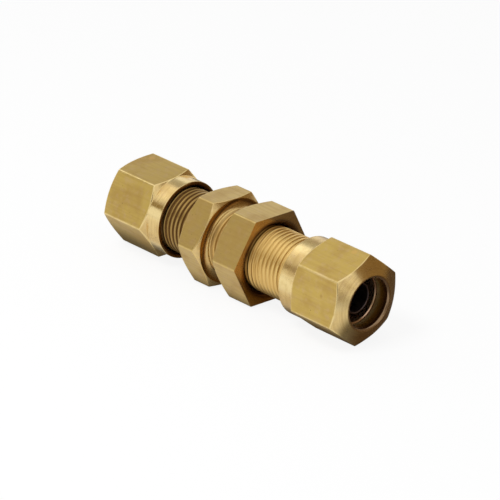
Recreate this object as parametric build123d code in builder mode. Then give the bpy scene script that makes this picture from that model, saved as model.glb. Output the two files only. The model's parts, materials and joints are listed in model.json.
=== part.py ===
"""Brass bulkhead union for 3/8 in plastic tube, made up with its locknut, tube nuts, sleeves and supports.

Millimetres. The axis is X. The origin is on the axis at the panel seat, the hex face that lies against the
bulkhead, and +X runs through the panel to the locknut. +Z is up, with a flat of the body's hex underneath.
"""

import os
from math import cos, pi, radians, tan

from build123d import *

# Tube, and the walls that stack up outwards from it
tube_diameter = 9.525
tube_wall = 1.575
stud_wall = 1.984
seat_width = 1.984
nut_wall = 1.19

# Thread, drawn as a plain cylinder over its crests, with its run-out at the panel seat left at full size
thread_pitch = 25.4 / 24
runout_turns = 2
crest_allowance = 0.16
thread_clearance = 0.10
thread_end_chamfer = 0.45
thread_countersink = 0.40

# Body and locknut lengths along the axis
body_hex_length = 5.556
panel_gap = 4.10
locknut_length = 6.75
right_exposed_thread = 9.75
left_exposed_thread = 7.10
locknut_countersink = 0.67

# Tube sockets in the two ends of the body
socket_depth = 6.5
socket_clearance = 0.10
mouth_cone_depth = 0.45

# Tube nut
entry_length = 3.1
entry_clearance = 0.24
lip_bevel = 0.45
nut_hex_length = 12.1
collar_length = 3.5
collar_relief = 0.06
seat_cone_depth = 0.46

# Sleeve, gripped between the cone in the nut and the cone in the body
sleeve_length = 7.0
sleeve_wall = 0.80
sleeve_end_wall = 0.34
sleeve_lead_in = 0.20
sleeve_clearance = 0.075
seat_clearance = 0.05

# Tube support, pressed into the body and standing in the tube's bore
support_wall = 0.30
support_clearance = 0.0875
support_reach = 6.95
support_seat_length = 4.0
support_press_clearance = 0.01

# Hex bar: bevels turned on it, and how each hex is turned about the axis
hex_bevel_angle = 30
nose_angle = 28
face_inset = 0.10
body_corner_angle = 0
left_nut_corner_angle = 68
right_nut_corner_angle = 82.5

# Radii of the thread and of the hex bars
thread_radius = tube_diameter / 2 + stud_wall
crest_radius = thread_radius - crest_allowance
thread_bore_radius = thread_radius + thread_clearance
runout_length = runout_turns * thread_pitch
body_flat_radius = thread_radius + seat_width
nut_flat_radius = thread_radius + nut_wall
body_corner_radius = body_flat_radius / cos(pi / 6)
nut_corner_radius = nut_flat_radius / cos(pi / 6)
hex_bevel = tan(radians(hex_bevel_angle))
nose_bevel = tan(radians(nose_angle))

# Radii of the tube's way in, from the tube outwards
socket_radius = tube_diameter / 2 + socket_clearance
entry_radius = tube_diameter / 2 + entry_clearance
sleeve_bore_radius = tube_diameter / 2 + sleeve_clearance
sleeve_end_radius = sleeve_bore_radius + sleeve_end_wall
sleeve_radius = sleeve_bore_radius + sleeve_wall
seat_cone_radius = entry_radius + seat_cone_depth
support_radius = tube_diameter / 2 - tube_wall - support_clearance
support_bore_radius = support_radius - support_wall
bore_radius = support_radius + support_press_clearance

# Depths below a nut's mouth: the sleeve sits on the nut's cone, and the body's cone sits on the sleeve
sleeve_front = entry_length + sleeve_end_radius - entry_radius + seat_clearance
sleeve_back = sleeve_front + sleeve_length
stud_end_depth = sleeve_back + sleeve_end_radius - socket_radius + seat_clearance - mouth_cone_depth
nut_shoulder = nut_hex_length + (nut_corner_radius - nut_flat_radius + collar_relief) * hex_bevel
nut_length = nut_shoulder + collar_length
thread_engagement = nut_length - stud_end_depth

# Places along the axis
locknut_start = panel_gap
locknut_end = locknut_start + locknut_length
body_right_end = locknut_end + right_exposed_thread + thread_engagement
body_left_end = -body_hex_length - left_exposed_thread - thread_engagement
right_mouth = body_right_end + stud_end_depth
left_mouth = body_left_end - stud_end_depth


def end_plane(x, outward):
    """Plane through the axis whose x runs into the union from the given place and whose y is the radius."""
    return Plane(origin=(x, 0, 0), x_dir=(-outward, 0, 0), z_dir=(0, outward, 0))


def turn(plane, profile):
    """Turn a closed profile about the axis, in the part being built."""
    with BuildSketch(plane) as section:
        with BuildLine():
            Polyline(*profile, close=True)
        make_face()
    revolve(section.sketch, axis=Axis.X)


def keep_hex_bar(flat_radius, corner_angle):
    """Keep what lies inside a hex bar along the axis. The angle of a corner runs from +Y towards +Z."""
    with BuildSketch(Plane.YZ) as bar:
        RegularPolygon(flat_radius, side_count=6, major_radius=False, rotation=corner_angle)
    extrude(bar.sketch, amount=max(right_mouth, -left_mouth), both=True, mode=Mode.INTERSECT)


def write(part, name):
    part.label = name
    export_step(part, f"parts/{name}.step")


def body_end(x, thread_start, outward):
    """Half of the body's profile at one end, from the thread out to the end of the stud and in to the bore."""
    mouth_radius = socket_radius + mouth_cone_depth
    stop = x - outward * socket_depth
    return [
        (thread_start, crest_radius),
        (x - outward * thread_end_chamfer, crest_radius),
        (x, crest_radius - thread_end_chamfer),
        (x, mouth_radius),
        (x - outward * mouth_cone_depth, socket_radius),
        (stop, socket_radius),
        (stop, bore_radius),
    ]


os.makedirs("parts", exist_ok=True)

# Union body: a hex shoulder with a threaded stud on each side and a tube socket in each end
with BuildPart() as union_body:
    face_radius = body_flat_radius - face_inset
    bevel_run = (body_corner_radius - face_radius) * hex_bevel
    hex_outline = [
        (-body_hex_length, face_radius),
        (-body_hex_length + bevel_run, body_corner_radius),
        (-bevel_run, body_corner_radius),
        (0, face_radius),
    ]
    panel_spigot = [(0, thread_radius), (runout_length, thread_radius)]
    left_outline = body_end(body_left_end, -body_hex_length, -1)
    right_outline = body_end(body_right_end, runout_length, 1)
    turn(Plane.XZ, [*reversed(left_outline), *hex_outline, *panel_spigot, *right_outline])
    keep_hex_bar(body_flat_radius, body_corner_angle)
write(union_body.part, "union_body")

# Bulkhead locknut: bevelled on the side that meets the panel, parted off square and countersunk outside
with BuildPart() as bulkhead_locknut:
    face_radius = body_flat_radius - face_inset
    bevel_run = (body_corner_radius - face_radius) * hex_bevel
    countersink_run = locknut_countersink * hex_bevel
    turn(
        Plane.XZ,
        [
            (locknut_start, thread_bore_radius),
            (locknut_start, face_radius),
            (locknut_start + bevel_run, body_corner_radius),
            (locknut_end, body_corner_radius),
            (locknut_end, thread_bore_radius + locknut_countersink),
            (locknut_end - countersink_run, thread_bore_radius),
        ],
    )
    keep_hex_bar(body_flat_radius, body_corner_angle)
write(bulkhead_locknut.part, "bulkhead_locknut")


def make_tube_nut(mouth, outward, corner_angle):
    """Hex bar turned to a conical nose and a round collar, bored for the tube, the sleeve and the thread."""
    nose_radius = entry_radius + lip_bevel
    collar_radius = nut_flat_radius - collar_relief
    chamber_floor = entry_length + seat_cone_depth
    with BuildPart() as tube_nut:
        turn(
            end_plane(mouth, outward),
            [
                (lip_bevel, entry_radius),
                (0, nose_radius),
                ((nut_corner_radius - nose_radius) * nose_bevel, nut_corner_radius),
                (nut_hex_length, nut_corner_radius),
                (nut_shoulder, collar_radius),
                (nut_length, collar_radius),
                (nut_length, thread_bore_radius + thread_countersink),
                (nut_length - thread_countersink, thread_bore_radius),
                (chamber_floor, thread_bore_radius),
                (chamber_floor, seat_cone_radius),
                (entry_length, entry_radius),
            ],
        )
        keep_hex_bar(nut_flat_radius, corner_angle)
    return tube_nut.part


def make_sleeve(mouth, outward):
    """Plain brass ring, tapered at both ends to sit on the two cones, with a lead-in for the tube at each."""
    taper = sleeve_radius - sleeve_end_radius
    with BuildPart() as sleeve:
        turn(
            end_plane(mouth, outward),
            [
                (sleeve_front + sleeve_lead_in, sleeve_bore_radius),
                (sleeve_front, sleeve_end_radius),
                (sleeve_front + taper, sleeve_radius),
                (sleeve_back - taper, sleeve_radius),
                (sleeve_back, sleeve_end_radius),
                (sleeve_back - sleeve_lead_in, sleeve_bore_radius),
            ],
        )
    return sleeve.part


def make_tube_support(end, outward):
    """Thin tube that stiffens the plastic tube from inside, pressed into the bore past the end of the socket."""
    inner_end = socket_depth + support_seat_length
    with BuildPart() as tube_support:
        turn(
            end_plane(end, outward),
            [
                (-support_reach, support_bore_radius),
                (-support_reach, support_radius),
                (inner_end, support_radius),
                (inner_end, support_bore_radius),
            ],
        )
    return tube_support.part


# The same tube fitting at both ends
write(make_tube_nut(left_mouth, -1, left_nut_corner_angle), "left_tube_nut")
write(make_tube_nut(right_mouth, 1, right_nut_corner_angle), "right_tube_nut")
write(make_sleeve(left_mouth, -1), "left_sleeve")
write(make_sleeve(right_mouth, 1), "right_sleeve")
write(make_tube_support(body_left_end, -1), "left_tube_support")
write(make_tube_support(body_right_end, 1), "right_tube_support")

print("overall length", round(right_mouth - left_mouth, 3))
print("left mouth", round(left_mouth, 3), "body", round(body_left_end, 3), round(body_right_end, 3))
print("right mouth", round(right_mouth, 3), "engagement", round(thread_engagement, 3))
print("nut across flats", round(2 * nut_flat_radius, 3), "body across flats", round(2 * body_flat_radius, 3))
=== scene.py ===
# %% [markdown]
# # A brass bulkhead union, dressed from its CAD frame
#
# The union carries a plastic tube through a bulkhead. A body with a hex shoulder has a threaded stud on
# each side, a locknut clamps the panel against the shoulder, and each end has a tube nut with a loose
# sleeve inside and a thin tube support. Every piece was turned on a lathe, most of them from hexagonal
# bar.
#
# This lesson makes each piece again with worn edges and real threads, gives it a brass finish of its own,
# and lights it like a plain product photograph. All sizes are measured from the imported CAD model, so the
# pieces land exactly where the frame holds them.

import json
from math import ceil, cos, degrees, dist, pi, radians, sin, sqrt, tan

import bpy
import numpy as np
from mathutils import Matrix, Vector

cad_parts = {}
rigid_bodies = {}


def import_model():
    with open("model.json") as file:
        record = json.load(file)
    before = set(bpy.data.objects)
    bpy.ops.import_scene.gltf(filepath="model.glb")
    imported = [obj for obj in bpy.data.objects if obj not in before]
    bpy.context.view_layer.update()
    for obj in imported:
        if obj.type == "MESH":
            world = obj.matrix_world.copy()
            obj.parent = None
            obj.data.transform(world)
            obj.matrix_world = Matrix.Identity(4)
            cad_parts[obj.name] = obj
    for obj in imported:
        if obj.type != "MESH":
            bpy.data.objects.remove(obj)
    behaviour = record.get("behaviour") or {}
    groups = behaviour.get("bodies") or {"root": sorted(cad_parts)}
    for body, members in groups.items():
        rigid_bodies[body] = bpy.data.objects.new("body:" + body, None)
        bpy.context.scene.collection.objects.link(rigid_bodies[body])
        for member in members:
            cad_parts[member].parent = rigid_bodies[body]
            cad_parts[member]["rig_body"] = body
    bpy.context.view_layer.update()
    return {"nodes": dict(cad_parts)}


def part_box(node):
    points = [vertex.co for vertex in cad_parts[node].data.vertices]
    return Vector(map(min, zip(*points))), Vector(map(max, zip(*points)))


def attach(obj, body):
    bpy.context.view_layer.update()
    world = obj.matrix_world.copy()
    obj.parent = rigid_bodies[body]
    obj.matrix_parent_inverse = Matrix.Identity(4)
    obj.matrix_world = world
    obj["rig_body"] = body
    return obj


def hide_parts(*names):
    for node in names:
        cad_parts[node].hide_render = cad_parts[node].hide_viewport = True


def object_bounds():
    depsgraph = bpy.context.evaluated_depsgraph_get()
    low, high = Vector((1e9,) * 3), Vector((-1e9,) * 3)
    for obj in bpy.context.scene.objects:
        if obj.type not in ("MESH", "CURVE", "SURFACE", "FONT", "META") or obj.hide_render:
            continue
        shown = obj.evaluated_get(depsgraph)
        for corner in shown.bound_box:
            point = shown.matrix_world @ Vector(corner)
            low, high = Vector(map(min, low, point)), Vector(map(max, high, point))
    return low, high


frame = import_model()
mm = 0.001

# %% [markdown]
# ## Measuring the CAD model
#
# A turned piece is known by its circles: where they lie along the axis, and how wide they are. The CAD
# meshes have points on each of those circles, so a few small helpers can read the sizes back. That is
# safer than typing them in again, because a piece then follows any change to the frame. All sizes are in
# millimetres.

# %% Measure circles
near_enough = 0.01


def circle_points(node):
    """Places along the axis and distances from it of all the points of a CAD node."""
    points = np.array([v.co for v in frame["nodes"][node].data.vertices]) / mm
    return points[:, 0], np.hypot(points[:, 1], points[:, 2])


def radii_between(node, low, high, slack=near_enough):
    """Smallest and largest radius of a CAD node between two places along the axis."""
    along, radius = circle_points(node)
    here = radius[(along > low - slack) & (along < high + slack)]
    return float(here.min()), float(here.max())


def radii_at(node, place):
    return radii_between(node, place, place)


def wall_at(node, radius):
    """First and last place along the axis where a CAD node has a circle of this radius."""
    along, radii = circle_points(node)
    here = along[abs(radii - radius) < near_enough]
    return float(here.min()), float(here.max())


def ends(node):
    """First and last place of a CAD node along the axis."""
    low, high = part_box(node)
    return low.x / mm, high.x / mm


for name in frame["nodes"]:
    print(name, "runs from", round(ends(name)[0], 3), "to", round(ends(name)[1], 3), "mm")


# %% Measure hex bars
def hex_bar(node):
    """Half the width across the flats of a hexed CAD node, and the angle of one of its corners."""
    points = np.array([v.co for v in frame["nodes"][node].data.vertices]) / mm
    radius = np.hypot(points[:, 1], points[:, 2])
    y, z = points[radius.argmax(), 1:]
    return float(radius.max()) * cos(pi / 6), float(np.arctan2(z, y)) % (pi / 3)


for name in ("union_body", "bulkhead_locknut", "left_tube_nut", "right_tube_nut"):
    flat, corner = hex_bar(name)
    print(name, "across flats", round(2 * flat, 3), "corner at", round(degrees(corner), 1), "degrees")

# %% [markdown]
# ## One class for node maths
#
# Both the shape tree and the materials are formulas. Written as nodes, a formula takes a dozen lines, so
# one small class wraps a socket and overloads the arithmetic operators. Each operation adds one Math
# node, and the formula in the script reads like the formula on paper. Any other node comes from add().


# %% A socket that understands arithmetic
class Wire:
    """A socket in a node tree. Arithmetic on it adds Math nodes, and add() puts in any other node."""

    def __init__(self, tree, socket=None):
        self.tree = tree
        self.socket = socket

    def add(self, kind, settings=None, inputs=None, output=0):
        """Add a node: first its settings, then the values or links of its inputs. Gives one output."""
        node = self.tree.nodes.new(kind)
        for name, value in (settings or {}).items():
            setattr(node, name, value)
        for name, value in (inputs or {}).items():
            if isinstance(value, Wire):
                self.tree.links.new(value.socket, node.inputs[name])
            else:
                node.inputs[name].default_value = value
        return Wire(self.tree, node.outputs[output] if node.outputs else None)

    def out(self, name):
        """Another output of the same node."""
        return Wire(self.tree, self.socket.node.outputs[name])

    def math(self, operation, *values):
        return self.add("ShaderNodeMath", {"operation": operation}, dict(enumerate(values)))

    def __add__(self, other):
        return self.math("ADD", self, other)

    def __sub__(self, other):
        return self.math("SUBTRACT", self, other)

    def __rsub__(self, other):
        return self.math("SUBTRACT", other, self)

    def __mul__(self, other):
        return self.math("MULTIPLY", self, other)

    def __truediv__(self, other):
        return self.math("DIVIDE", self, other)

    def __abs__(self):
        return self.math("ABSOLUTE", self)

    __radd__ = __add__
    __rmul__ = __mul__

    def smooth(self, low, high, start=0.0, end=1.0):
        """A soft step from start, where this value is low, to end, where it is high."""
        settings = {"interpolation_type": "SMOOTHSTEP"}
        inputs = {"Value": self, "From Min": low, "From Max": high, "To Min": start, "To Max": end}
        return self.add("ShaderNodeMapRange", settings, inputs)


def parts(start, vector):
    """The three parts of a vector."""
    axes = start.add("ShaderNodeSeparateXYZ", None, {0: vector})
    return axes.out("X"), axes.out("Y"), axes.out("Z")


print("node maths ready")

# %% [markdown]
# ## Turning from hex bar
#
# Each piece starts as a length of bar that a lathe turns down along a profile: its radius at a place is
# the smaller of the profile's and the bar's. A screw thread is the same profile wound along the axis as
# the bar turns. Bevel and Screw modifiers could copy parts of that, but their edges go ragged where a
# cone runs out over a flat. A Geometry Nodes tree can state the rule itself, so one tree turns all eight
# pieces.
#
# The tree lays a grid of points, with one row for each station of the profile and one column for each
# angle, and looks up each point's station. Its sizes are named inputs.


# %% The tree's inputs and grid
def lathe_inputs():
    """A new tree with an input for each size, and a wire at those inputs."""
    tree = bpy.data.node_groups.new("Turned from hex bar", "GeometryNodeTree")
    tree.interface.new_socket("Profile", in_out="INPUT", socket_type="NodeSocketGeometry")
    bar_sizes = ("Flat radius", "Corner angle", "Corner softness", "Edge softness")
    thread_sizes = ("Pitch", "Thread depth", "Run-out")
    for size in bar_sizes + thread_sizes:
        tree.interface.new_socket(size, in_out="INPUT", socket_type="NodeSocketFloat")
    tree.interface.new_socket("Columns in a sixth", in_out="INPUT", socket_type="NodeSocketInt")
    tree.interface.new_socket("Finish", in_out="INPUT", socket_type="NodeSocketMaterial")
    tree.interface.new_socket("Piece", in_out="OUTPUT", socket_type="NodeSocketGeometry")
    return tree, Wire(tree).add("NodeGroupInput")


def lay_grid(given):
    """A grid round the profile and round the axis, with each point's station and share of a turn."""
    points = {"component": "MESH"}
    stations = given.add("GeometryNodeAttributeDomainSize", points, {0: given.out("Profile")}, "Point Count")
    columns = given.out("Columns in a sixth") * 6
    row_length = columns + 1
    grid = given.add("GeometryNodeMeshGrid", None, {"Vertices X": stations + 1, "Vertices Y": row_length})
    index = given.add("GeometryNodeInputIndex")
    row = given.math("FLOOR", index / row_length)
    turn = (index - row * row_length) / columns
    return grid, given.math("MODULO", row, stations), turn


def sampled(given, station, kind, value):
    """A value of the profile's, at a point's station."""
    inputs = {"Geometry": given.out("Profile"), "Value": value, "Index": station}
    return given.add("GeometryNodeSampleIndex", {"data_type": kind, "domain": "POINT"}, inputs)


def kept_at(given, station, name, kind="FLOAT"):
    """What the profile keeps under a name, at a point's station."""
    stored = given.add("GeometryNodeInputNamedAttribute", {"data_type": kind}, {"Name": name})
    return sampled(given, station, kind, stored)


print("grid laid by stations and columns")

# %% [markdown]
# ## The bar and the thread in the tree
#
# A hex bar's radius is the distance to the nearest of its flats. A smooth minimum of two neighbouring
# flats rounds the corner between them as drawing the bar does, and the columns are crowded there to
# follow it.
#
# A thread could be a swept groove, cut out by a Boolean, but that leaves long thin faces and open seams.
# Here each row of a thread moves along the axis by one pitch as it goes round, so the last column meets
# the first of the next turn. The groove fades in over one turn at both ends, as a thread runs out on the
# lathe.

# %% The bar and the thread
crowding = 0.75
swell_length = 2


def bar_outline(given, turn):
    """The angle of a point, the bar's radius there, and how much further off the next flat is."""
    sixth = given.math("FLOOR", turn * 6)
    share = turn * 6 - sixth
    share = share - given.math("SINE", share * (2 * pi)) * (crowding / (2 * pi))
    angle = (sixth + share) * (pi / 3) + given.out("Corner angle")
    off_flat = abs(share - 0.5) * (pi / 3)
    this_flat = given.out("Flat radius") / given.math("COSINE", off_flat)
    next_flat = given.out("Flat radius") / given.math("COSINE", pi / 3 - off_flat)
    bar_radius = given.math("SMOOTH_MIN", this_flat, next_flat, given.out("Corner softness"))
    return angle, bar_radius, next_flat - this_flat


def wind_thread(given, station, turn):
    """The profile wound along the axis: each point's place, radius, groove and share of a thread."""
    position = given.add("GeometryNodeInputPosition")
    place, turned_radius, _ = parts(given, sampled(given, station, "FLOAT_VECTOR", position))
    low, high, swell = parts(given, kept_at(given, station, "thread", "FLOAT_VECTOR"))
    runout = given.out("Run-out")
    ahead = place + turn * given.out("Pitch")
    wound = given.add("ShaderNodeClamp", None, {"Value": ahead, "Min": low, "Max": high})
    is_thread = given.math("GREATER_THAN", high, low)
    along = place + (wound - place) * is_thread
    threaded = (along - low).smooth(0.0, runout) * (high - along).smooth(0.0, runout) * is_thread
    groove = kept_at(given, station, "groove") * threaded
    swelling = swell * (along - low).smooth(0.0, runout * swell_length, 1.0, 0.0) * is_thread
    return along, turned_radius + swelling + groove * given.out("Thread depth"), groove, threaded


print("columns crowded at the corners by", crowding)

# %% [markdown]
# ## What the tree keeps for the finishes
#
# A finish has to know what happened to each spot of metal. The tree knows, so it keeps five values on the
# points: how worn an edge is, whether a point lies on a drawn flat or a turned face, how deep it lies in
# a thread's groove, whether it is on a thread at all, and how sheltered it is from wiping and from the
# light, where the finishes lay oil and painted shade. Painting such masks by hand would be lost whenever a
# size changes.

# %% The whole tree
flat_reach = 0.5
cut_edge_reach = 2.2
seam_gap = 0.0005


def edge_wear(given, station, over, off_corner):
    """How flat and how worn each point is, from how far the profile lies over the bar."""
    softness = given.out("Edge softness")
    flat = over.smooth(softness * -flat_reach, softness * flat_reach)
    cut_edge = abs(over).smooth(softness * flat_reach, softness * cut_edge_reach, 1.0, 0.0)
    bar_edge = off_corner.smooth(0.0, given.out("Corner softness"), 1.0, 0.0) * flat
    turned_edge = kept_at(given, station, "rounded") * (1 - flat)
    return flat, given.math("MAXIMUM", given.math("MAXIMUM", cut_edge, bar_edge), turned_edge)


def close_piece(given, piece, values):
    """Keep the values on the points, close the seams and give the piece its finish."""
    settings = {"data_type": "FLOAT", "domain": "POINT"}
    for name, value in values.items():
        inputs = {"Geometry": piece, "Name": name, "Value": value}
        piece = given.add("GeometryNodeStoreNamedAttribute", settings, inputs)
    piece = given.add("GeometryNodeMergeByDistance", None, {"Geometry": piece, "Distance": seam_gap * mm})
    piece = given.add("GeometryNodeSetShadeSmooth", None, {"Geometry": piece})
    piece = given.add("GeometryNodeRealizeInstances", None, {"Geometry": piece})
    return given.add("GeometryNodeSetMaterial", None, {"Geometry": piece, "Material": given.out("Finish")})


def make_lathe():
    """The tree: the smaller of the profile's and the bar's radius counts, with a worn edge between them."""
    tree, given = lathe_inputs()
    grid, station, turn = lay_grid(given)
    angle, bar_radius, off_corner = bar_outline(given, turn)
    along, turned_radius, groove, threaded = wind_thread(given, station, turn)
    radius = given.math("SMOOTH_MIN", turned_radius, bar_radius, given.out("Edge softness"))
    flat, worn = edge_wear(given, station, turned_radius - bar_radius, off_corner)
    sheltered = kept_at(given, station, "sheltered") * (1 - flat)
    values = {"worn": worn, "flat": flat, "groove": groove, "threaded": threaded, "sheltered": sheltered}
    y = radius * given.math("COSINE", angle)
    z = radius * given.math("SINE", angle)
    position = given.add("ShaderNodeCombineXYZ", None, {"X": along * mm, "Y": y * mm, "Z": z * mm})
    piece = given.add("GeometryNodeSetPosition", None, {"Geometry": grid, "Position": position})
    given.add("NodeGroupOutput", None, {"Piece": close_piece(given, piece, values)})
    return tree


lathe = make_lathe()
print("lathe tree with", len(lathe.nodes), "nodes")

# %% [markdown]
# ## From a drawing to stations
#
# A drawing gives a profile by its corners. The tree needs stations: a few round each corner, because a
# real corner is never quite sharp, one close beside it on each straight, so that the straight shades
# flat, and a close row of them where a cone cuts the bar. A Bevel modifier could round the corners
# afterwards, but it would not know which corners hands have polished, and a station can carry that.

# %% Stations round a corner
corner_wear = 0.10
corner_steps = 3
straight_hold = 0.12
most_wear = 0.4
room_for_hold = 3


class Station:
    """One row of a turned piece: its place, radius, and what the tree keeps of it."""

    def __init__(self, place, radius, sheltered=0.0, rounded=0.0, groove=0.0, thread=(0.0, 0.0, 0.0)):
        self.place = place
        self.radius = radius
        self.sheltered = sheltered
        self.rounded = rounded
        self.groove = groove
        self.thread = thread


def between(start, end, share):
    return tuple(a + (b - a) * share for a, b in zip(start, end))


def shelter_of(start, end):
    """0 for what hands wipe clean, 1 for a face or bore that keeps its oil and painted shade, 2 for a lip
    with named wear that is painted in shade.
    """
    if end[0] - start[0] < -near_enough:
        return 0.0
    return 2.0 if len(start) == len(end) == 3 else 1.0


def worn_corner(before, corner, after):
    """Stations round a corner, with one beside it on each straight. A corner may name its own wear."""
    shelter = shelter_of(before, corner), shelter_of(corner, after)
    wear = corner[2] if len(corner) == 3 else corner_wear
    before, corner, after = before[:2], corner[:2], after[:2]
    to_before, to_after = dist(corner, before), dist(corner, after)
    wear = min(wear, most_wear * to_before, most_wear * to_after)
    hold = wear + straight_hold
    first, last = between(corner, before, wear / to_before), between(corner, after, wear / to_after)
    (x0, r0), (x1, r1), (x2, r2) = before, corner, after
    sticks_out = (x1 - x0) * (r2 - r1) - (r1 - r0) * (x2 - x1) > 0
    handled = max(0.0, 1 - sum(shelter) / 2) if sticks_out else 0.0
    stations = []
    if to_before > room_for_hold * hold:
        stations.append(Station(*between(corner, before, hold / to_before), shelter[0]))
    for step in range(corner_steps + 1):
        share = step / corner_steps
        point = between(between(first, corner, share), between(corner, last, share), share)
        rounded = handled * sqrt(sin(pi * share)) if 0 < share < 1 else 0.0
        stations.append(Station(*point, shelter[round(share)], rounded))
    if to_after > room_for_hold * hold:
        stations.append(Station(*between(corner, after, hold / to_after), shelter[1]))
    return stations


print("corners worn by", corner_wear, "mm, with", corner_steps + 1, "stations round each")

# %% Stations where the bar is cut
cut_step = 0.09
cut_reach = 0.2


def close_rows(stations, flat_radius):
    """Add rows where a cone or a face cuts the bar."""
    rows = []
    for here, after in zip(stations, stations[1:] + stations[:1]):
        rows.append(here)
        runs_along = abs(here.radius - after.radius) < near_enough
        if runs_along or max(here.radius, after.radius) < flat_radius - cut_reach:
            continue
        start, end = (here.place, here.radius), (after.place, after.radius)
        count = ceil(dist(start, end) / cut_step)
        for step in range(1, count):
            point = between(start, end, step / count)
            if point[1] > flat_radius - cut_reach:
                rows.append(Station(*point, min(here.sheltered, after.sheltered)))
    return rows


print("rows every", cut_step, "mm where the bar is cut")

# %% [markdown]
# ## Threads
#
# The stud has a fine inch thread of 24 turns to the inch. Its form is a 60 degree vee with a flat crest
# and a flat root, and the crests are turned down a little, so they look broad. Bump could fake such a
# thread, but its crests show against the white background and its grooves catch the light, so they are
# real here. Eight rows a turn are enough: two on each side of the crest, one half way down each flank and
# one at each root edge.

# %% Stations along a thread
turns_in_an_inch = 24
pitch = 25.4 / turns_in_an_inch
full_radius, face_radius = radii_at("union_body", 0.0)
hex_left, hex_right = wall_at("union_body", face_radius)
crest_radius = radii_at("union_body", hex_left)[0]
crest_drop = full_radius - crest_radius
vee_height = sqrt(3) / 2 * pitch
thread_depth = 17 / 24 * vee_height - crest_drop
half_crest = 1 / 16 + crest_drop * tan(radians(30)) / pitch
half_root = 1 / 12
crest_hold = 0.04


def thread_form():
    """Places along one turn, in shares of the pitch, and how deep the groove is there."""
    flank = 0.5 - half_root - half_crest
    crest = [(half_crest - crest_hold, 0.0), (half_crest, 0.0)]
    down = [*crest, (half_crest + flank / 2, 0.5), (0.5 - half_root, 1.0)]
    return [*down, *[(1 - share, groove) for share, groove in reversed(down)]]


def thread_stations(start, end, radius, swell=0.0, sheltered=0.0):
    """Rows along a thread from start to end, beginning a turn early because the tree winds them forwards."""
    low, high = min(start, end), max(start, end)
    thread = (low, high, swell)
    rows = [Station(low - pitch, radius, sheltered, thread=thread)]
    for turn in range(ceil((high - low) / pitch) + 1):
        for share, groove in thread_form():
            place = low + (turn - 1 + share) * pitch
            if place < high:
                rows.append(Station(place, radius, sheltered, groove=groove, thread=thread))
    rows.append(Station(high, radius, sheltered, thread=thread))
    return rows if start < end else rows[::-1]


print("pitch", round(pitch, 4), "mm, thread depth", round(thread_depth, 3), "mm")
print("crest width", round(2 * half_crest * pitch, 3), "mm")

# %% [markdown]
# ## Turning a piece
#
# A profile is a list of corners with threads between some of them, going round the section with the metal
# on the left. One function turns it: it makes the stations, hands them to the tree as a mesh of loose
# points, and keeps the result as a plain mesh. A modifier could stay live instead, but an export keeps
# plain meshes best. The piece then rides on the body of the CAD node that it stands for.


# %% A profile as a mesh of points
def end_point(item, side):
    """The corner itself, or the first or last place of a thread."""
    if isinstance(item, tuple):
        return item
    station = item[side]
    low, high, _ = station.thread
    return min(max(station.place, low), high), station.radius


def profile_stations(profile, flat_radius):
    """All the stations of a profile, in order."""
    stations = []
    for here, item in enumerate(profile):
        if isinstance(item, tuple):
            before = end_point(profile[here - 1], -1)
            after = end_point(profile[(here + 1) % len(profile)], 0)
            stations += worn_corner(before, item, after)
        else:
            stations += item
    return close_rows(stations, flat_radius)


def profile_mesh(name, stations):
    """The stations as loose points, with what the tree needs kept on each."""
    mesh = bpy.data.meshes.new(name)
    mesh.from_pydata([(s.place, s.radius, 0.0) for s in stations], [], [])
    for key in ("sheltered", "rounded", "groove"):
        values = [getattr(s, key) for s in stations]
        mesh.attributes.new(key, "FLOAT", "POINT").data.foreach_set("value", values)
    threads = [number for s in stations for number in s.thread]
    mesh.attributes.new("thread", "FLOAT_VECTOR", "POINT").data.foreach_set("vector", threads)
    return mesh


sample_corner = worn_corner((0.0, 1.0), (1.0, 1.0), (1.0, 0.0))
print("a square corner becomes", len(sample_corner), "stations")

# %% Turn a profile into a piece
columns_in_a_sixth = 36
corner_softness = 0.40
edge_softness = 0.16


def new_object(name, data):
    """A new object in the scene."""
    made = bpy.data.objects.new(name, data)
    bpy.context.scene.collection.objects.link(made)
    return made


def run_lathe(name, stations, sizes):
    """Run the tree on a profile's stations and keep what it makes as a plain mesh."""
    blank = new_object(name + "_blank", profile_mesh(name + "_profile", stations))
    modifier = blank.modifiers.new("Lathe", "NODES")
    modifier.node_group = lathe
    for item in lathe.interface.items_tree:
        if item.name in sizes:
            modifier[item.identifier] = sizes[item.name]
    evaluated = blank.evaluated_get(bpy.context.evaluated_depsgraph_get())
    mesh = bpy.data.meshes.new_from_object(evaluated)
    mesh.name = name
    bpy.data.objects.remove(blank)
    return mesh


def turn_piece(name, node, profile, bar, finish, thread_depth=0.0):
    """Turn a profile from a bar with the lathe tree, in place of a CAD node."""
    flat_radius, corner_angle = bar
    sizes = {
        "Flat radius": flat_radius,
        "Corner angle": corner_angle,
        "Corner softness": corner_softness,
        "Edge softness": edge_softness,
        "Pitch": pitch,
        "Thread depth": thread_depth,
        "Run-out": pitch,
        "Columns in a sixth": columns_in_a_sixth,
        "Finish": finish,
    }
    stations = profile_stations(profile, flat_radius)
    mesh = run_lathe(name, stations, sizes)
    piece = new_object(name, mesh)
    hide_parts(node)
    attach(piece, frame["nodes"][node]["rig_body"])
    mesh.calc_loop_triangles()
    print(name, len(stations), "stations,", len(mesh.loop_triangles), "triangles")


print("columns round the axis:", 6 * columns_in_a_sixth)

# %% [markdown]
# ## Brass
#
# Brass bar is drawn through a die, which leaves fine lines along its flats and a dull, slightly tarnished
# skin. Where the lathe has cut, the metal is brighter, with fine rings round the axis. Handling polishes
# the edges, cutting oil and tarnish gather in the roots of the threads and on the faces that nobody
# wipes, and large soft patches and small specks lie over everything. Painted shade darkens the roots, the
# faces and the mouths further. One flat colour could not show this. So the finish is built from those
# causes and that painted shade, as formulas on a point's place and on what the lathe kept there, and each
# kind of piece sets how strong they are.


# %% Patterns on the metal
def metal_place(start):
    """A point's place in millimetres."""
    place = start.add("ShaderNodeTexCoord", None, None, "Object")
    return start.add("ShaderNodeVectorMath", {"operation": "SCALE"}, {0: place, "Scale": 1 / mm})


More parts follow.
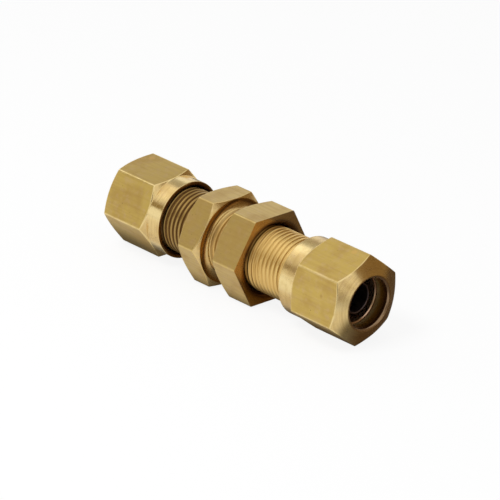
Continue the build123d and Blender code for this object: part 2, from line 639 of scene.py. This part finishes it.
def cloud(start, place, scale, detail=4.0):
    """Soft noise at a place in millimetres."""
    vector = start.add("ShaderNodeCombineXYZ", None, dict(enumerate(place)))
    return start.add("ShaderNodeTexNoise", None, {"Vector": vector, "Scale": scale, "Detail": detail})


def blend(start, share, first, second):
    """A colour that goes from the first to the second as the share goes from 0 to 1."""
    return start.add("ShaderNodeMix", {"data_type": "RGBA"}, {0: share, 6: first, 7: second}, 2)


def kept_value(start, name):
    """A value that the lathe kept on the points of the mesh."""
    return start.add("ShaderNodeAttribute", {"attribute_name": name}, None, "Fac")


def new_finish(name):
    """A new material, and a wire in its tree."""
    finish = bpy.data.materials.new(name)
    finish.use_nodes = True
    return finish, Wire(finish.node_tree)


def feed_shader(finish, wires):
    """Lead each wire to the shader's socket of that name."""
    shader = finish.node_tree.nodes["Principled BSDF"]
    for socket, wire in wires.items():
        finish.node_tree.links.new(wire.socket, shader.inputs[socket])
    print(finish.name, len(finish.node_tree.nodes), "nodes")


print("patterns ready")

# %% [markdown]
# ## Oil, dirt and painted shade
#
# The left thread is brown with old oil, and the right thread has been wiped clean and shows gold. The faces
# beside the threads get a brown film that is partly oil and partly painted shade, and a dark ring of painted
# shadow round each thread. The nuts' mouths are painted nearly black just inside, as shade where light does
# not reach. Ambient occlusion could darken such places, but it is baked light and would stay when a nut is
# moved. The oil and the painted shade belong to the piece, so they follow the place on the piece: the
# distance from the axis, the depth below a mouth, and how sheltered the spot is. On the body and the locknut
# the rim of a film lies further out high up than low down, or the reverse, which paints one side darker.

# %% Where the oil and the painted shade lie
left_mouth, right_mouth = ends("left_tube_nut")[0], ends("right_tube_nut")[1]
middle, half_length = (left_mouth + right_mouth) / 2, (right_mouth - left_mouth) / 2
locknut_end = ends("bulkhead_locknut")[1]
entry_edge = (5.1, 5.4)
thread_edge = (6.0, 6.4)
thick_oil_edge = (-0.7, 0.0)
thin_oil_edge = (-0.5, 0.6)
entry_shade = (0.6, 2.8)
chamber_start = (1.8, 3.0)
mouth_film = (0.95, 0.05)
thread_film = (0.7, 0.0)
thin_past_rim = 0.55
chamber_wiped = 0.8
wiped_stretch = (-9.0, 7.0)
root_edge, wiped_edge = 0.45, 0.25
root_dirt_and_shade, wiped_off = 0.9, 0.86
tide_start = (locknut_end - 2.85, locknut_end - 1.85)
tide_end = (locknut_end, locknut_end + 0.5)


def past_rim(radius, z, rim):
    """How far a point lies outside a film of oil and painted shade. Its rim is a radius and how much that
    grows with height.
    """
    at_axis, growth = rim
    return radius - z * growth - at_axis


def oil_and_shade_films(x, z, radius, sheltered, oil_and_shade, thin_rim, thick_rim):
    """Thin oil and painted shade on faces and in bores, dark painted shade in the mouths and round the
    threads, and the mouths alone.
    """
    depth = half_length - abs(x - middle)
    entry = radius.smooth(*entry_edge, 1.0, 0.0)
    in_chamber = entry * depth.smooth(*chamber_start) * chamber_wiped
    on_face = past_rim(radius, z, thin_rim).smooth(*thin_oil_edge, oil_and_shade, oil_and_shade * thin_past_rim)
    thin = sheltered * on_face * (1 - in_chamber)
    in_mouth = entry * depth.smooth(*entry_shade, *mouth_film)
    in_rim = past_rim(radius, z, thick_rim).smooth(*thick_oil_edge, *thread_film)
    round_thread = radius.smooth(*thread_edge) * in_rim
    return thin, sheltered * oil_and_shade * (in_mouth + round_thread), entry


def thread_dirt_and_shade(x, groove, threaded):
    """How well a thread is wiped, oil and painted shade in its roots, and a tide mark with painted shadow at
    the locknut.
    """
    wiped = x.smooth(*wiped_stretch)
    root_oil_and_shade = groove.smooth(0.0, root_edge + wiped * wiped_edge) * (root_dirt_and_shade - wiped * wiped_off)
    tide_and_shadow = threaded * x.smooth(*tide_start) * x.smooth(*tide_end, 1.0, 0.0)
    return wiped, root_oil_and_shade, tide_and_shadow


print("threads wiped clean from", *wiped_stretch, "mm, tide mark up to", round(tide_end[1], 2), "mm")

# %% How large and how strong the patterns are
patch_scale, patch_edge, patch_share = 0.20, (0.42, 0.66), 0.45
mottle_scale, bloom_edge, bloom_share = 0.9, (0.42, 0.85), 0.5
speck_scale, speck_edge, speck_share = 2.6, (0.745, 0.80), 0.6
line_scale, line_edge, line_share = 2.2, (0.40, 0.75), 0.35
ring_scale = 3.6
drawn_stretch = 0.05
polish_edge, least_polish = (0.30, 0.55), 0.45
thread_share, tide_share = 0.8, 0.8
mark_core, mark_share = 0.3, 0.7
turned_roughness, drawn_roughness = 0.23, 0.13
patch_roughness, line_roughness = 0.08, 0.16
root_roughness, thread_roughness = 0.25, 0.06
polish_smoothness = 0.06
oil_dulling, mouth_dulling, root_dulling = 0.15, 0.20, 0.3
line_height, mottle_height = 0.7, 0.3
bump_strength, bump_depth = 0.25, 0.02
print("patches of about", 1 / patch_scale, "mm, specks of about", round(1 / speck_scale, 1), "mm")

# %% The brass finish
drawn_skin = (0.58, 0.41, 0.11, 1)
turned_skin = (0.76, 0.56, 0.24, 1)
tarnish = (0.44, 0.27, 0.08, 1)
pink_bloom = (0.60, 0.42, 0.24, 1)
polished_edge = (0.88, 0.70, 0.34, 1)
oily_thread = (0.32, 0.19, 0.045, 1)
golden_thread = (0.775, 0.515, 0.17, 1)
tide_mark_and_shadow = (0.20, 0.08, 0.006, 1)
root_oil_shade_and_speck = (0.13, 0.055, 0.01, 1)
oily_face_and_shade = (0.40, 0.17, 0.012, 1)
painted_lip_shade = (0.30, 0.19, 0.10, 1)
dark_oil_and_shade = (0.045, 0.009, 0.005, 1)


def make_brass(
    name,
    drawn=drawn_skin,
    turned=turned_skin,
    edges=0.75,
    oil_and_shade=0.97,
    thin_rim=(8.0, 0.0),
    thick_rim=(8.0, 0.0),
    marks=(),
):
    """Brass with drawn flats, turned faces, polished edges, oil and painted shade on faces and roots, patches
    and specks.
    """
    finish, start = new_finish(name)
    place = metal_place(start)
    x, y, z = parts(start, place)
    radius = start.math("SQRT", y * y + z * z)
    worn, flat, groove = (kept_value(start, key) for key in ("worn", "flat", "groove"))
    shelter = kept_value(start, "sheltered")
    sheltered = start.math("MINIMUM", shelter, 1.0)
    threaded = kept_value(start, "threaded") * (1 - sheltered)
    patches = cloud(start, (x, y, z), patch_scale, detail=3.0).smooth(*patch_edge)
    mottle = cloud(start, (x, y, z), mottle_scale, detail=5.0)
    specks = cloud(start, (x, y, z), speck_scale, detail=1.0).smooth(*speck_edge)
    drawn_lines = cloud(start, (x * drawn_stretch, y, z), line_scale, detail=5.0)
    turned_rings = cloud(start, (x, radius, 0.0), ring_scale)
    lines = turned_rings + (drawn_lines - turned_rings) * flat
    polish = worn * mottle.smooth(*polish_edge, least_polish, 1.0)
    thin_oil_and_shade, thick_oil_and_shade, entry = oil_and_shade_films(x, z, radius, sheltered, oil_and_shade, thin_rim, thick_rim)
    wiped, root_oil_and_shade, tide_and_shadow = thread_dirt_and_shade(x, groove, threaded)

    # From the bare metal outwards to what lies on it, with painted shade in the oil, lip, tide and root
    # layers
    colour = blend(start, flat, turned, drawn)
    colour = blend(start, patches * patch_share, colour, tarnish)
    colour = blend(start, mottle.smooth(*bloom_edge) * bloom_share, colour, pink_bloom)
    colour = blend(start, lines.smooth(*line_edge) * line_share, colour, tarnish)
    # Thin film: partly oil, partly painted shade that darkens faces and bores
    colour = blend(start, thin_oil_and_shade, colour, oily_face_and_shade)
    # Dark painted shade in the nuts' mouths and round the threads, with some oil
    colour = blend(start, thick_oil_and_shade, colour, dark_oil_and_shade)
    # The mouth's lip is painted darker, as shade
    colour = blend(start, shelter.smooth(1.0, 2.0) * oil_and_shade, colour, painted_lip_shade)
    colour = blend(start, specks * speck_share, colour, root_oil_shade_and_speck)
    colour = blend(start, polish * edges, colour, polished_edge)
    thread_tint = blend(start, wiped, oily_thread, golden_thread)
    colour = blend(start, threaded * thread_share, colour, thread_tint)
    # A tide mark where the locknut sits, and painted shadow where the thread leaves the locknut's countersink
    colour = blend(start, tide_and_shadow * tide_share, colour, tide_mark_and_shadow)
    # Oil in the thread roots, and painted shade in the grooves
    colour = blend(start, root_oil_and_shade, colour, root_oil_shade_and_speck)
    for centre, size, tint in marks:
        away = start.add("ShaderNodeVectorMath", {"operation": "DISTANCE"}, {0: place, 1: centre}, "Value")
        colour = blend(start, away.smooth(size * mark_core, size, mark_share, 0.0), colour, tint)

    # Drawn skin is rougher than a turned face, and oil is no metal
    skin = turned_roughness + flat * drawn_roughness + patches * patch_roughness
    skin = skin + (lines - 0.5) * line_roughness
    roughness = skin - polish * polish_smoothness + root_oil_and_shade * root_roughness + threaded * thread_roughness
    oil_skin = sheltered * oil_and_shade * (entry * mouth_dulling + oil_dulling)
    metallic = 1 - oil_skin - root_oil_and_shade * root_dulling
    height = lines * line_height + mottle * mottle_height
    relief = {"Strength": bump_strength, "Distance": bump_depth * mm, "Height": height}
    bump = start.add("ShaderNodeBump", None, relief)
    feed_shader(finish, {"Base Color": colour, "Metallic": metallic, "Roughness": roughness, "Normal": bump})
    return finish


print("brass finish ready")

# %% One brass for each kind of piece
shoulder_skin = (0.60, 0.43, 0.14, 1)
pinkish_ring = (0.56, 0.37, 0.26, 1)
orange_stain = (0.66, 0.42, 0.13, 1)
left_stain = ((-25.7, 1.8, 8.3), 0.9, orange_stain)
right_stain = ((31.8, 0.2, 8.7), 0.8, orange_stain)
right_speck = ((31.7, -7.8, 1.8), 0.5, tarnish)
# The films' rims lean with height: the body's dark ring reaches further out up high, the locknut's film
# further out low down, as painted shade
body_brass = make_brass(
    "body_brass",
    drawn=shoulder_skin,
    edges=0.2,
    thin_rim=(9.4, 0.0),
    thick_rim=(7.7, 0.14),
)
locknut_brass = make_brass(
    "locknut_brass",
    drawn=shoulder_skin,
    edges=0.2,
    thin_rim=(7.6, -0.28),
    thick_rim=(8.25, 0.0),
)
nut_brass = make_brass("nut_brass", marks=(left_stain, right_stain, right_speck))
sleeve_brass = make_brass("sleeve_brass", turned=pinkish_ring, edges=0.3, oil_and_shade=0.2)

# %% [markdown]
# ## Drawn tube
#
# A tube support is thin tube, drawn and cut to length. Deep in the nut's mouth it shows as a small grey
# ring. A plain grey would do at that size in one picture, but the part can be seen from all sides, so the
# tube gets its long drawing lines and the brown mottling of handling.

# %% The support's finish
tube_grey = (0.20, 0.16, 0.16, 1)
tube_line = (0.13, 0.10, 0.10, 1)
tube_brown = (0.24, 0.17, 0.11, 1)
tube_line_scale, tube_line_edge = 4.0, (0.35, 0.70)
tube_mottle_scale, tube_mottle_edge, tube_mottle_share = 1.4, (0.45, 0.75), 0.5
tube_roughness, tube_mottle_roughness = 0.3, 0.2
tube_bump = 0.2


def make_drawn_tube(name):
    """Thin drawn tube, dark grey, with long lines and a little mottling."""
    finish, start = new_finish(name)
    x, y, z = parts(start, metal_place(start))
    lines = cloud(start, (x * drawn_stretch, y, z), tube_line_scale)
    mottle = cloud(start, (x, y, z), tube_mottle_scale)
    colour = blend(start, lines.smooth(*tube_line_edge), tube_grey, tube_line)
    colour = blend(start, mottle.smooth(*tube_mottle_edge) * tube_mottle_share, colour, tube_brown)
    relief = {"Strength": tube_bump, "Distance": bump_depth * mm, "Height": lines}
    bump = start.add("ShaderNodeBump", None, relief)
    roughness = tube_roughness + mottle * tube_mottle_roughness
    finish.node_tree.nodes["Principled BSDF"].inputs["Metallic"].default_value = 1
    feed_shader(finish, {"Base Color": colour, "Roughness": roughness, "Normal": bump})
    return finish


support_brass = make_drawn_tube("support_brass")

# %% [markdown]
# ## Union body
#
# The body is one piece of hex bar. Both ends are turned down to a stud and threaded, the shoulder between
# them keeps the bar's flats with a bevel on each side, and each end is bored out to a socket for the
# tube. It could be a hex prism and two cylinders joined by Booleans. Turning one profile instead keeps
# the surface whole, from the hex bevel to the socket's floor. The profile's top lies a little over the
# bar's corners, so that the bar alone decides the flats.

# %% Turn the body
bar_spare = 0.3
bevel_slope = tan(radians(30))


def turn_body():
    left, right = ends("union_body")
    thread_low, thread_high = wall_at("union_body", crest_radius)
    mouth, chamfer = radii_at("union_body", right)
    bore = min(circle_points("union_body")[1])
    stop_left, stop_right = wall_at("union_body", bore)
    _, socket = radii_at("union_body", stop_right)
    cone = mouth - socket
    bar = hex_bar("union_body")
    top = bar[0] / cos(pi / 6) + bar_spare
    bevel = (top - face_radius) * bevel_slope
    profile = [
        (right, mouth),
        (right, chamfer),
        thread_stations(thread_high, hex_right, crest_radius, crest_drop),
        (hex_right, face_radius),
        (hex_right - bevel, top),
        (hex_left + bevel, top),
        (hex_left, face_radius),
        thread_stations(hex_left, thread_low, crest_radius),
        (left, chamfer),
        (left, mouth),
        (left + cone, socket),
        (stop_left, socket),
        (stop_left, bore),
        (stop_right, bore),
        (stop_right, socket),
        (right - cone, socket),
    ]
    turn_piece("turned_body", "union_body", profile, bar, body_brass, -thread_depth)


turn_body()

# %% [markdown]
# ## Locknut
#
# The locknut is a slice of the same bar: bevelled on the side that meets the panel, parted off square on
# the other, and tapped. Its thread shows only at the countersink, so it could be left out, but the
# locknut travels and shows its bore when the joint moves. The tapped groove goes outwards from the bore,
# so its depth is positive where the stud's is negative.

# %% Turn the locknut
tapped_depth = 0.40


def turn_locknut():
    start, end = ends("bulkhead_locknut")
    bore, face = radii_at("bulkhead_locknut", start)
    countersink, _ = radii_at("bulkhead_locknut", end)
    _, bore_end = wall_at("bulkhead_locknut", bore)
    bar = hex_bar("bulkhead_locknut")
    top = bar[0] / cos(pi / 6) + bar_spare
    bevel = (top - face) * bevel_slope
    profile = [
        (end, countersink),
        (end, top),
        (start + bevel, top),
        (start, face),
        (start, bore),
        thread_stations(start + tapped_depth, bore_end, bore, sheltered=1.0),
    ]
    turn_piece("turned_locknut", "bulkhead_locknut", profile, bar, locknut_brass, tapped_depth)


turn_locknut()

# %% [markdown]
# ## Tube nuts
#
# A tube nut is hex bar with a long cone turned on its nose and a round collar on its rim. The cone runs
# out over the flats in curved edges, which are the nut's most telling lines. Cutting them with a Boolean
# cone gives ragged normals there. In the tree they come by themselves, where the cone's radius meets the
# bar's. Inside, the mouth leads to a short entry, a cone that seats the sleeve, and a tapped bore. The
# two nuts are the same part turned end for end, so one function makes both, and the left one's profile is
# read backwards.

# %% Turn the tube nuts
nose_wear = 0.30
nose_slope = tan(radians(28))
untapped_length = 5.0
clear_of_corner = 0.05


def turn_tube_nut(side, outward):
    node = side + "_tube_nut"
    mouth, rim = ends(node)[::-1] if outward > 0 else ends(node)
    entry = min(circle_points(node)[1])
    nose, _ = radii_at(node, mouth)
    lip, entry_end = sorted(wall_at(node, entry), key=lambda place: abs(place - mouth))
    countersink, collar = radii_at(node, rim)
    shoulder = max(wall_at(node, collar), key=lambda place: abs(place - rim))
    in_collar = sorted((rim + outward * clear_of_corner, shoulder - outward * clear_of_corner))
    bore, _ = radii_between(node, *in_collar, slack=0.0)
    thread_end, floor = sorted(wall_at(node, bore), key=lambda place: abs(place - rim))
    seat, _ = radii_at(node, floor)
    bar = hex_bar(node)
    top = bar[0] / cos(pi / 6) + bar_spare
    profile = [
        (lip, entry, nose_wear),
        (mouth, nose, nose_wear),
        (mouth - outward * (top - nose) * nose_slope, top),
        (shoulder + outward * (top - collar) * bevel_slope, top),
        (shoulder, collar),
        (rim, collar),
        (rim, countersink),
        thread_stations(thread_end, floor - outward * untapped_length, bore, sheltered=1.0),
        (floor, bore),
        (floor, seat),
        (entry_end, entry),
    ]
    if outward < 0:
        profile = [item if isinstance(item, tuple) else item[::-1] for item in profile[::-1]]
    turn_piece(f"turned_{side}_nut", node, profile, bar, nut_brass, tapped_depth)


turn_tube_nut("left", -1)
turn_tube_nut("right", 1)

# %% [markdown]
# ## Sleeves and tube supports
#
# A sleeve is a plain ring, tapered at both ends, that the nut squeezes onto the tube. A tube support is a
# short length of thin tube, pressed into the body. Both are round, so a Screw modifier could spin them,
# but the lathe tree gives them the same worn corners and the same values for their finish. Their bar is
# set so wide that its flats never cut them.


# %% Turn the sleeves and supports
def turn_sleeve(side):
    node = side + "_sleeve"
    left, right = ends(node)
    _, end = radii_at(node, left)
    radii = circle_points(node)[1]
    bore, widest = min(radii), max(radii)
    bore_left, bore_right = wall_at(node, bore)
    taper_left, taper_right = wall_at(node, widest)
    profile = [
        (bore_right, bore),
        (right, end),
        (taper_right, widest),
        (taper_left, widest),
        (left, end),
        (bore_left, bore),
    ]
    turn_piece(f"turned_{side}_sleeve", node, profile, (2 * widest, 0.0), sleeve_brass)


def turn_support(side):
    node = side + "_tube_support"
    left, right = ends(node)
    bore, outside = radii_at(node, left)
    profile = [(right, bore), (right, outside), (left, outside), (left, bore)]
    turn_piece(f"turned_{side}_support", node, profile, (2 * outside, 0.0), support_brass)


for side in ("left", "right"):
    turn_sleeve(side)
    turn_support(side)

# %% [markdown]
# ## Floor
#
# The union lies on a plain white ground with hardly any shadow, as products are often photographed. A lit
# white sheet would need more light than the brass can take, so the camera sees the floor mostly as a
# plain white glow, and the rest of it is matt and takes the shadow. Polished metal shows what lies round
# it, and brass under a softbox shows a brown, dim floor close by. So to reflections the floor is painted
# with shadow: grey under the union, dimmer to its right and brown behind it.


# %% Stage pieces
def sheet(name, middle, across, upward):
    """A flat stage piece: a rectangle round its middle, spanned by two half edges, in metres."""
    corners = [middle + across * i + upward * j for i, j in ((-1, -1), (1, -1), (1, 1), (-1, 1))]
    mesh = bpy.data.meshes.new(name)
    mesh.from_pydata(corners, [], [(0, 1, 2, 3)])
    stage_piece = new_object(name, mesh)
    return stage_piece


def stage_material(piece):
    """A new material on a stage piece, with nothing but its output."""
    material, start = new_finish(piece.name)
    material.node_tree.nodes.remove(material.node_tree.nodes["Principled BSDF"])
    piece.data.materials.append(material)
    return start, material.node_tree.nodes["Material Output"].inputs["Surface"]


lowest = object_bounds()[0].z
half_floor = 0.6
floor = sheet("floor", Vector((0, 0, lowest)), Vector((half_floor, 0, 0)), Vector((0, half_floor, 0)))
print("floor at", round(lowest / mm, 3), "mm,", 2 * half_floor, "m wide")

# %% The floor's look
grey_shade = (0.16, 0.15, 0.14, 1)
brown_shade = (0.07, 0.035, 0.012, 1)
white = (1, 1, 1, 1)
floor_paper = (0.9, 0.9, 0.9, 1)
front_edge = (-0.0085, -0.0045)
brown_left, brown_front = (-0.030, 0.0), (-0.006, 0.001)
right_dusk = (0.040, 0.075)
white_share = 0.88
dusk_share = 0.6
dim_glow, least_glow = 0.85, 0.1

start, surface = stage_material(floor)
rays = start.add("ShaderNodeLightPath")
glossy = rays.out("Is Glossy Ray")
x, y, _ = parts(start, start.add("ShaderNodeTexCoord", None, None, "Object"))
# Reflections see painted shadow on the floor: grey under the union, dimmer to the right, brown behind
painted_shade_behind = x.smooth(*brown_left) * y.smooth(*brown_front)
painted_shadow = start.math("MAXIMUM", y.smooth(*front_edge), x.smooth(*right_dusk) * dusk_share)
seen_plainly = rays.out("Is Camera Ray") + rays.out("Is Transmission Ray")
glow = seen_plainly * white_share + glossy * (painted_shadow * dim_glow + least_glow)
tone = blend(start, glossy * painted_shadow, white, grey_shade)
tone = blend(start, glossy * painted_shade_behind, tone, brown_shade)
matt = start.add("ShaderNodeBsdfDiffuse", None, {"Color": floor_paper})
light = start.add("ShaderNodeEmission", None, {"Color": tone, "Strength": 1.0})
both = start.add("ShaderNodeMixShader", None, {0: glow, 1: matt, 2: light})
start.tree.links.new(both.socket, surface)
print("floor look with", len(start.tree.nodes), "nodes")

# %% [markdown]
# ## World
#
# A white surround lights the union evenly and fills its reflections. At full strength it would wash the
# brass out, so it lights the matt things at about two thirds, and only the camera and the reflections see
# it fully white. Light Path tells the two apart. A picture of a studio could give the same, but nothing
# is loaded here.

# %% A white studio
open_light = 0.65
world = bpy.data.worlds.new("studio")
bpy.context.scene.world = world
world.use_nodes = True
background = world.node_tree.nodes["Background"]
background.inputs["Color"].default_value = white
start = Wire(world.node_tree)
rays = start.add("ShaderNodeLightPath")
seen = rays.out("Is Camera Ray") + rays.out("Is Glossy Ray") + rays.out("Is Transmission Ray")
strength = start.math("MINIMUM", seen, 1.0) * (1 - open_light) + open_light
start.tree.links.new(strength.socket, background.inputs["Strength"])
print("open light", open_light)

# %% [markdown]
# ## Dark cards
#
# In an all-white studio polished brass looks like pale plastic. Photographers stand dark cards out of the
# picture, so that each flat mirrors a tone of its own and the edges between them show. Tinting the flats
# by hand would fail as soon as a nut turns. Each card here stands where one group of surfaces mirrors it:
# the front card for the broad flats, the top card for the upper ones, and two more for the threads
# and noses.


# %% Stand the cards
def toward(azimuth, elevation):
    """Direction from the union: azimuth from +X towards +Y, in degrees."""
    a, e = radians(azimuth), radians(elevation)
    return Vector((cos(a) * cos(e), sin(a) * cos(e), sin(e)))


def dark_card(name, azimuth, elevation, distance, width, height, tone):
    """A card that faces the union and that only reflections see. Its distance and size are in metres."""
    way = toward(azimuth, elevation)
    across = way.cross(Vector((0, 0, 1))).normalized()
    card = sheet(name, way * distance, across * width / 2, across.cross(way) * height / 2)
    start, surface = stage_material(card)
    paper = start.add("ShaderNodeEmission", None, {"Color": tone, "Strength": 1.0})
    start.tree.links.new(paper.socket, surface)
    card.visible_camera = False
    card.visible_diffuse = False
    card.visible_shadow = False
    print(name, "at", [round(v, 3) for v in way * distance])


dark_card("front_card", 226, 22.5, distance=0.80, width=0.96, height=0.17, tone=(0.25, 0.165, 0.04, 1))
dark_card("back_card", 46, 18, distance=0.15, width=0.18, height=0.15, tone=(0.27, 0.18, 0.085, 1))
dark_card("camera_card", -33, 11, distance=0.60, width=0.42, height=0.28, tone=(0.12, 0.07, 0.02, 1))
dark_card("top_card", 142, 42, distance=0.25, width=0.15, height=0.09, tone=(0.44, 0.41, 0.36, 1))

# %% [markdown]
# ## Lamps
#
# Two soft lamps shape the light. The front lamp stands high in front and lights the matt, oily places.
# Mirrored in the threads it would sparkle, so reflections do not see it. The weak side lamp does show in
# reflections, as the soft highlight along the round collars and thread crests. A sun or point lamp would
# be simpler, but its highlights are hard and small.


# %% Hang the lamps
def soft_lamp(name, azimuth, elevation, distance, size, radiance):
    """A square soft lamp that faces the union. Its distance and size are in metres."""
    way = toward(azimuth, elevation)
    lamp = bpy.data.lights.new(name, "AREA")
    lamp.size = size
    lamp.energy = radiance * pi * size**2
    holder = new_object(name, lamp)
    holder.location = way * distance
    holder.rotation_euler = way.to_track_quat("Z", "Y").to_euler()
    print(name, "at", [round(v, 3) for v in holder.location], "with", round(lamp.energy, 3), "watts")
    return holder


front_lamp = soft_lamp("front_lamp", 268, 57, distance=0.35, size=0.12, radiance=13.0)
front_lamp.visible_glossy = False
soft_lamp("side_lamp", 190, 47, distance=0.27, size=0.16, radiance=0.30)

# %% [markdown]
# ## Camera
#
# The photograph looks down on the union from its right front, from ten lengths away, so the hexes hardly
# shrink with distance. The view was found by fitting the hexes' corners: where the eye stands as seen
# from a focus on the axis, how the picture is rolled, and how far its middle lies from the focus. A Track
# To constraint would aim the camera, but it can't roll it, so the camera's three axes are worked out
# here. Lengths are in millimetres.

# %% Aim the camera
view_azimuth, view_elevation, view_roll = radians(44.44), radians(23.32), radians(-3.64)
focus = Vector((10.87, 0.0, 0.0))
eye_distance = 666.7
middle_left, middle_up = 4.240, 1.669
focal_length = 252.5
sensor_width = 36
nearest_seen = 10

rightward = Vector((cos(view_azimuth), sin(view_azimuth), 0))
near = Vector((sin(view_azimuth), -cos(view_azimuth), 0))
downward = near * sin(view_elevation) - Vector((0, 0, cos(view_elevation)))
outward = near * cos(view_elevation) + Vector((0, 0, sin(view_elevation)))
image_right = rightward * cos(view_roll) + downward * sin(view_roll)
image_down = downward * cos(view_roll) - rightward * sin(view_roll)
eye = focus + outward * eye_distance
target = focus - image_right * middle_left - image_down * middle_up
back = (eye - target).normalized()
across = (-image_down).cross(back).normalized()
axes = Matrix((across, back.cross(across), back)).transposed().to_4x4()
axes.translation = eye * mm
print("eye", [round(v, 1) for v in eye], "mm, target", [round(v, 2) for v in target], "mm")

# %% Set the camera
camera_data = bpy.data.cameras.new("camera")
camera_data.lens = focal_length
camera_data.sensor_width = sensor_width
camera_data.clip_start = nearest_seen * mm
camera = new_object("camera", camera_data)
camera.matrix_world = axes
bpy.context.scene.camera = camera
bpy.context.scene.view_settings.view_transform = "Standard"
print("picture", round(eye_distance * sensor_width / focal_length, 1), "mm wide at the union")
